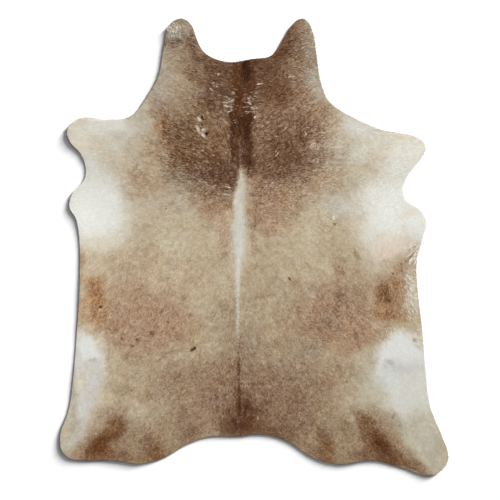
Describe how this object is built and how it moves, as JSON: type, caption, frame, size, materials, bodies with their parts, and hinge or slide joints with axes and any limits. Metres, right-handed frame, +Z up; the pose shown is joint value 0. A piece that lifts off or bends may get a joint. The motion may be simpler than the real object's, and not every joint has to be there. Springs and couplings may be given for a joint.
{
  "type": "cowhide rug",
  "caption": "Hair-on cowhide rug cut to the natural outline of the skin, lying flat on its flesh side.",
  "frame": {"origin": "on the floor, at the middle of the outline's length and width", "axes": "+Y towards the neck, +X towards the animal's right side, +Z up out of the coat"},
  "size_m": [1.7838, 2.1, 0.0136],
  "materials": {
    "coat": "short laid hair, matt with a soft sheen"
  },
  "bodies": {
    "root": {"hide": "coat"}
  },
  "joints": []
}
